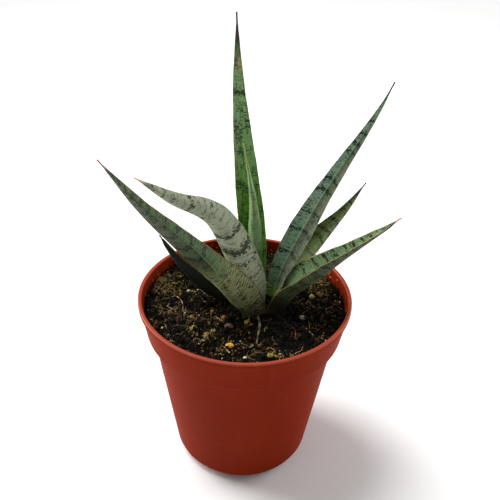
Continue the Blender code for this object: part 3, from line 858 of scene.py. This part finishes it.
def build_leaf(name, material, seat, layer, heading, spine, facing, width, widest, foot_width, taper,
               channel, keel, ripple=0.12, foot_turn=0, ridge=(0, 0), ridge_rise=0.0, foot_pinch=0.0):
    """A thick leaf with a channelled face and a keeled back, its margins faintly rippled.

    ridge is how far the keel lies off the middle, from -1 to 1, at even steps along the leaf, and
    ridge_rise how far it stands out, in millimetres. foot_pinch is how much narrower one side of the foot is.
    """
    parts = np.linspace(0, 1, LEAF_STATIONS)
    middle, along, sideways, hollow = leaf_frame(parts, seat, layer, heading, spine, facing, foot_turn)
    length = np.append(0, np.cumsum(np.linalg.norm(np.diff(middle, axis=0), axis=1)))
    half = leaf_half_width(parts, width, widest, foot_width, taper)
    thick = LEAF_THICKNESS * np.interp(parts, [0, 0.3, 0.9, 1], [1, 1, 0.5, 0.3])
    thick = np.minimum(thick, 1.2 * half)
    fold, sharp, keel_at = (spread_over(values, parts) for values in (channel, keel, ridge))
    across, on_back = leaf_section(23)
    wave, other = margin_ripple(np.random.default_rng(abs(seat) + 7), ripple, length)
    rings, place, part = [], [], []
    for i in range(LEAF_STATIONS):
        ruffle = np.where(across > 0, wave[i], other[i]) * np.abs(across) ** 3 * min(1, half[i] / 3)
        chord = half[i] * np.sqrt(1 - 0.55 * fold[i] ** 2) + 0.5 * ruffle
        off_keel = across - keel_at[i]
        off_keel = np.abs(off_keel / np.where(off_keel > 0, 1 - keel_at[i], 1 + keel_at[i]))
        rise = half[i] * fold[i] * off_keel ** sharp[i] + ruffle
        rise = rise - on_back * thick[i] * (1 - off_keel**2.2)
        rise = rise - on_back * ridge_rise * np.clip(1 - off_keel * 1.4, 0, 1) * np.sin(np.pi * parts[i])
        tucked = 1 - foot_pinch * (across > 0) * max(0, 1 - parts[i] / 0.15) ** 1.3
        rings.append(middle[i] + (chord * across * tucked)[:, None] * sideways[i] + rise[:, None] * hollow[i])
        same = np.ones(len(across))
        place.append(np.column_stack([half[i] * across, length[i] * same, across - keel_at[i]]))
        part.append(np.column_stack([across, parts[i] * same, on_back]))
    rings[0] = rings[0] - np.outer((rings[0][:, 2] - FOOT_LEVEL) / along[0][2], along[0])
    points, faces = loft(rings, rings[0].mean(axis=0), rings[-1].mean(axis=0) + TIP_RADIUS * along[-1])
    stored = {
        "leaf_place": np.vstack([*place, (0, 0, 0.5), (0, length[-1], 0.5)]),
        "leaf_part": np.vstack([*part, (0, 0, 0.5), (0, 1, 0.5)]),
    }
    add_piece(name + "_blade", points, faces, material, name, stored)


def build_middle_leaves():
    """The tall upright leaf and the young spear that stands before it."""
    build_leaf("leaf_tall_centre", leaf_finish(
        "centre_leaf_skin", 145.0, face=linear(130, 168, 108), back=linear(104, 124, 86),
        dark=linear(22, 46, 8), foot=linear(92, 148, 8), tip=linear(62, 60, 46), edge=linear(116, 136, 84),
        seed=1.0, line_every=1.2, lines=0.4, mottle=0.75, streaks=0.5, foot_reach=105.0, tip_reach=0.9,
        scar=(0.858, 0.35, 20.0, 1.1), bands_at=(
            (110.9, 2.2, 1.0), (122.5, 3.0, 0.4), (101.0, 3.0, 0.35), (95.0, 9.0, 0.45), (84.0, 5.0, 0.35),
            (67.0, 7.0, 0.35))),
        seat=92, layer=1.06, heading=140,
        spine=((3, 9), (6, 36), (12.5, 75), (17.5, 110), (19.5, 141)), facing=(270, 270),
        width=13.2, widest=0.35, foot_width=0.55, taper=1.3, channel=(0.4, 0.3, 0.3), keel=(1.9, 1.5))
    build_leaf("leaf_young_spear", leaf_finish(
        "spear_skin", 91.4, face=linear(116, 148, 90), back=linear(108, 136, 88), dark=linear(32, 58, 22),
        foot=linear(58, 84, 16), tip=linear(104, 124, 34), edge=linear(98, 140, 40), seed=2.0,
        line_every=1.5, lines=0.25, mottle=0.75, streaks=0.4, foot_reach=44.0, tip_reach=0.86, tip_dark=0.0),
        seat=270, layer=0.06, heading=160,
        spine=((0.5, 10), (3.5, 30), (6, 60), (11.5, 88)), facing=(90, 90),
        width=6.5, widest=0.55, foot_width=0.6, taper=0.7, channel=(0.4, 0.4), keel=(1.9, 1.5), ripple=0.05)


def build_left_leaves():
    """The silver leaf that bends over to the left and the long one in front of it."""
    build_leaf("leaf_silver_left", leaf_finish(
        "silver_leaf_skin", 103.0, face=linear(120, 140, 110), back=linear(182, 187, 160),
        dark=linear(36, 48, 26), foot=linear(118, 130, 96), tip=linear(206, 152, 134),
        edge=linear(176, 178, 150), seed=3.0, line_every=3.1, lines=0.5, breaks=3.4, mottle=0.25,
        streaks=0.06, bow=3.2, foot_reach=16.0, tip_reach=0.94, veil=0.4, bands_at=(
            (92.9, 1.5, 0.5), (87.7, 1.5, 0.5), (82.8, 1.5, 0.5), (74.3, 2.0, 0.75), (64.8, 1.5, 0.5),
            (50.6, 2.2, 0.9), (41.0, 4.0, 1.0), (33.5, 3.0, 0.6), (25.5, 3.0, 0.5))),
        seat=240, layer=1.75, heading=182,
        spine=((1, 9), (4.5, 25.5), (18.5, 54), (39.5, 64.5), (55.5, 74.5)), facing=(95, 105),
        width=16, widest=0.33, foot_width=0.42, taper=1.7, channel=(0.4, 0.35, 0.3), keel=(2, 2))
    # The front leaf's half beyond the keel and its foot are darkened partly as painted shade.
    build_leaf("leaf_front_left", leaf_finish(
        "front_leaf_skin", 118.2, face=linear(84, 112, 72), back=linear(74, 102, 56), dark=linear(14, 24, 8),
        foot=linear(178, 182, 126), tip=linear(140, 98, 78), edge=linear(128, 88, 50), seed=4.0,
        line_every=1.35, lines=0.35, mottle=0.85, streaks=0.1, bow=2.2, foot_reach=50.0, foot_lines=0.75,
        foot_shade_to=15.0, tip_reach=0.945, midline=0.7, shaded=linear(78, 88, 60), bands_at=(
            (108.4, 1.5, 0.8), (104.6, 1.8, 0.9), (100.5, 1.5, 0.7), (96.3, 2.0, 0.9), (91.5, 2.0, 0.7),
            (86.5, 2.4, 0.8), (76.0, 3.6, 0.7), (68.4, 2.5, 0.7), (60.4, 2.6, 0.95), (51.5, 2.4, 0.95))),
        seat=233, layer=3.5, heading=199, foot_turn=12,
        spine=((-1, 5), (2.5, 13), (12.5, 26.5), (29.5, 47), (47.5, 68.7), (64.6, 93.5)), facing=(95, 115),
        width=17, widest=0.15, foot_width=0.85, taper=1.25, channel=(0.4, 0.4, 0.4), keel=(2, 1.3, 1.3),
        ridge=(0.7, 0.65, 0.35, -0.3, -0.5, -0.5, -0.45, -0.3, 0), ridge_rise=0.9, foot_pinch=0.8)


def build_right_leaves():
    """The tall leaf that leans to the right, the shorter one behind it and the low one in front."""
    # The right half of this leaf takes a duller colour, partly as painted shade.
    build_leaf("leaf_tall_right", leaf_finish(
        "right_leaf_skin", 127.0, face=linear(136, 168, 138), back=linear(100, 108, 84),
        dark=linear(22, 44, 26), foot=linear(176, 210, 70), tip=linear(60, 58, 46), edge=linear(128, 128, 92),
        seed=5.0, line_every=1.6, mottle=0.8, bow=-1.0, foot_reach=16.0, tip_reach=0.945, midline=0.8,
        shaded=linear(104, 106, 84), bands_at=(
            (107.6, 1.6, 0.9), (101.2, 2.0, 1.0), (95.0, 2.6, 0.9), (91.0, 1.6, 0.8), (75.1, 2.2, 0.95),
            (69.0, 2.0, 0.9), (56.7, 2.2, 0.75), (46.2, 2.2, 0.85), (33.1, 2.0, 0.8), (22.6, 1.6, 0.8))),
        seat=38, layer=2.05, heading=20,
        spine=((2.5, 10), (7, 25), (23, 58), (46, 95.5), (54, 111.5)), facing=(240, 250),
        width=13, widest=0.38, foot_width=0.55, taper=0.92, channel=(0.5, 0.4, 0.4), keel=(1.9, 1.3))
    build_leaf("leaf_back_right", leaf_finish(
        "back_right_leaf_skin", 79.0, face=linear(92, 108, 58), back=linear(88, 98, 62),
        dark=linear(24, 38, 12), foot=linear(88, 98, 50), tip=linear(40, 42, 32), edge=linear(120, 104, 60),
        seed=6.0, line_every=1.3, lines=0.3, mottle=0.55, bow=-1.0, foot_reach=10.0, tip_reach=0.94,
        midline=0.6, bands_at=(
            (72.0, 2.0, 0.7), (66.9, 1.8, 0.9), (61.5, 2.0, 0.8), (55.2, 2.2, 0.9), (48.1, 2.2, 0.9),
            (43.1, 2.0, 0.8), (35.0, 2.4, 0.7))),
        seat=58, layer=3.65, heading=24,
        spine=((2, 8), (10.5, 19), (36.5, 43), (48.5, 57.5)), facing=(230, 240),
        width=12.6, widest=0.48, foot_width=0.5, taper=0.82, channel=(0.5, 0.4), keel=(1.9, 1.3))
    # The low leaf's back colour is painted dark as the shade under it, and painted shade darkens its foot far
    # up.
    build_leaf("leaf_low_right", leaf_finish(
        "low_leaf_skin", 84.1, face=linear(124, 152, 108), back=linear(60, 66, 40), dark=linear(16, 28, 10),
        foot=linear(96, 110, 56), tip=linear(172, 126, 106), edge=linear(186, 164, 104), seed=7.0,
        line_every=1.5, mottle=0.75, streaks=0.12, bow=-0.8, foot_reach=9.0, foot_shade_to=22.0,
        tip_reach=0.95, bands_at=(
            (75.2, 1.6, 0.7), (68.7, 1.8, 0.9), (64.0, 1.6, 0.8), (58.6, 2.0, 0.9), (54.4, 1.6, 0.9),
            (48.7, 1.8, 0.9), (43.4, 1.8, 0.9), (37.7, 1.8, 0.8), (30.0, 1.8, 0.7))),
        seat=-41, layer=2.55, heading=-4,
        spine=((2.5, 4), (9, 15), (20, 25.2), (33, 38.8), (55, 60)), facing=(174, 182),
        width=20, widest=0.38, foot_width=0.42, taper=0.75, channel=(0.5, 0.85, 0.5), keel=(1.9, 1.4))


def build_back_left_leaf():
    """The short leaf in the shade of the others, its colours painted dark as that shade."""
    build_leaf("leaf_back_left", leaf_finish(
        "shade_darkened_leaf_skin", 58.5, face=linear(30, 42, 22), back=linear(18, 27, 12), dark=linear(12, 18, 8),
        foot=linear(34, 40, 22), tip=linear(30, 26, 18), edge=linear(104, 84, 58), seed=8.0,
        lines=0.3, mottle=0.5, streaks=0.1),
        seat=172, layer=OUTERMOST_LAYER, heading=187,
        spine=((3, 4), (13.5, 11), (26, 26), (35.5, 42.5)), facing=(50, 60),
        width=11, widest=0.35, foot_width=0.5, taper=1.4, channel=(0.4, 0.4), keel=(1.9, 1.5))


def build_loose_bits():
    """The stalk, fibres, grains and moss that can be told apart on the peat."""
    straw_dark, straw_light = linear(72, 54, 28), linear(176, 150, 100)
    build_single_strand(
        "dry_stalk_stem", "dry_stalk", ((6.6, -13.5, 1.2), (7.6, -20, 1.6), (6.8, -28, 1.2), (5.8, -36, 0.3)),
        0.6, linear(44, 38, 20), linear(112, 98, 58))
    build_single_strand(
        "pale_fibre_left", "fibre_left",
        ((-39, 3.5, 0.4), (-35, 1.5, 1.4), (-31.5, -4, 1.3), (-31, -10.5, 0.2)),
        0.3, straw_dark, straw_light)
    build_single_strand(
        "pale_fibre_right", "fibre_right", ((30, -19, 0.2), (33, -23.5, 0.9), (36, -28, 0.2)),
        0.28, straw_dark, straw_light)
    for name, node, light, dark, slot, seed, gloss, grow in (
        ("orange_grain_bead", "orange_grain", (240, 190, 84), (196, 116, 24), "orange_grain", 31, 0.35, 1.1),
        ("pellet_front_grain", "pellet_front", (160, 158, 66), (70, 70, 22), "green_pellet", 32, 0.5, 1.0),
        ("pellet_lip_grain", "pellet_lip", (150, 152, 52), (64, 70, 18), "green_pellet", 33, 0.5, 1.0),
        ("pellet_right_grain", "pellet_right", (190, 184, 124), (104, 98, 52), "pale_pellet", 34, 0.5, 1.0),
        ("pellet_left_grain", "pellet_left", (186, 182, 120), (96, 92, 46), "pale_pellet", 35, 0.5, 1.0),
        ("pale_chip_flake", "pale_chip", (196, 188, 150), (110, 100, 66), "pale_chip", 36, 0.5, 1.0),
        ("white_grain_bead", "white_grain", (226, 224, 218), (140, 134, 124), "white_grain", 37, 0.5, 1.0),
        ("bark_chip_flake", "bark_chip", (118, 84, 58), (50, 32, 20), "bark", 38, 0.7, 1.0),
    ):
        build_grain(name, node, linear(*light), linear(*dark), seed, gloss, grow)
    build_moss("moss_left_cushion", "moss_left", 260, 0.95, 41)
    build_moss("moss_right_cushion", "moss_right", 150, 0.95, 42)


# ---------------------------------------------------------------- studio


def hang(name, lamp, towards, axis, position=(0, 0, 0)):
    """Put a lamp in the scene, with one of its axes turned towards a direction."""
    holder = bpy.data.objects.new(name, lamp)
    holder.location = position
    holder.rotation_mode = "QUATERNION"
    holder.rotation_quaternion = Vector(towards).to_track_quat(axis, "Y")
    bpy.context.scene.collection.objects.link(holder)


def add_sun(name, towards, strength, spread_degrees):
    lamp = bpy.data.lights.new(name, "SUN")
    lamp.energy = strength
    lamp.angle = math.radians(spread_degrees)
    hang(name, lamp, towards, "Z")


def add_softbox(name, position, size, power):
    """A square lamp that faces the middle of the pot."""
    lamp = bpy.data.lights.new(name, "AREA")
    lamp.shape = "SQUARE"
    lamp.size = size
    lamp.energy = power
    pot_middle = Vector((0, 0, 0.09))
    hang(name, lamp, pot_middle - Vector(position), "-Z", position)


def build_studio():
    """A pale floor, even light from all round, a broad key light and two soft boxes behind the plant."""
    finish = Finish("pale_floor", Roughness=0.7, Specular_IOR_Level=0.2)
    mottle = finish.noise(finish.place(), scale=3.0, detail=3.0)
    finish.put("Base Color", finish.mix(mottle, linear(240, 240, 240), linear(246, 246, 245)))
    side, level = 6.0, -0.0002
    mesh = bpy.data.meshes.new("floor")
    corners = [(-side, -side, level), (side, -side, level), (side, side, level), (-side, side, level)]
    mesh.from_pydata(corners, [], [(0, 1, 2, 3)])
    mesh.materials.append(finish.material)
    floor = bpy.data.objects.new("floor", mesh)
    bpy.context.scene.collection.objects.link(floor)
    floor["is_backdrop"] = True

    world = bpy.data.worlds.new("studio")
    world.use_nodes = True
    sky = world.node_tree.nodes["Background"]
    sky.inputs["Color"].default_value = (1, 1, 1, 1)
    sky.inputs["Strength"].default_value = 0.3
    bpy.context.scene.world = world
    add_sun("key_light", (-0.38, 0.2, 0.9), 2.7, 30)
    add_softbox("left_softbox", (-0.75, 0.34, 0.22), 0.5, 9.0)
    add_softbox("right_softbox", (0.75, 0.34, 0.22), 0.5, 6.0)


def build_camera():
    """Looking down at the plant from the front, with a slight roll."""
    aim = np.array([1.7, 0, 125.5]) * MM
    distance, elevation, roll = 322 * MM, math.radians(32.7), math.radians(1.9)
    lens_over_width = 1.324
    forward = np.array([0, math.cos(elevation), -math.sin(elevation)])
    level = np.array([1.0, 0, 0])
    up = np.cross(level, forward)
    right = level * math.cos(roll) + up * math.sin(roll)
    up = up * math.cos(roll) - level * math.sin(roll)
    lens = bpy.data.cameras.new("camera")
    lens.sensor_width = 36
    lens.lens = lens.sensor_width * lens_over_width
    lens.clip_start, lens.clip_end = 0.02, 20
    camera = bpy.data.objects.new("camera", lens)
    place = np.eye(4)
    place[:3, 0], place[:3, 1], place[:3, 2], place[:3, 3] = right, up, -forward, aim - distance * forward
    camera.matrix_world = Matrix(place.tolist())
    bpy.context.scene.collection.objects.link(camera)
    bpy.context.scene.camera = camera
    bpy.context.scene.view_settings.view_transform = "Standard"


build_camera()
build_studio()
build_pot()
build_peat_bed()
build_crumbs()
build_fibres()
build_middle_leaves()
build_left_leaves()
build_right_leaves()
build_back_left_leaf()
build_loose_bits()

{"cad": CAD_BOX, "visual": [list(corner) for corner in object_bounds()]}
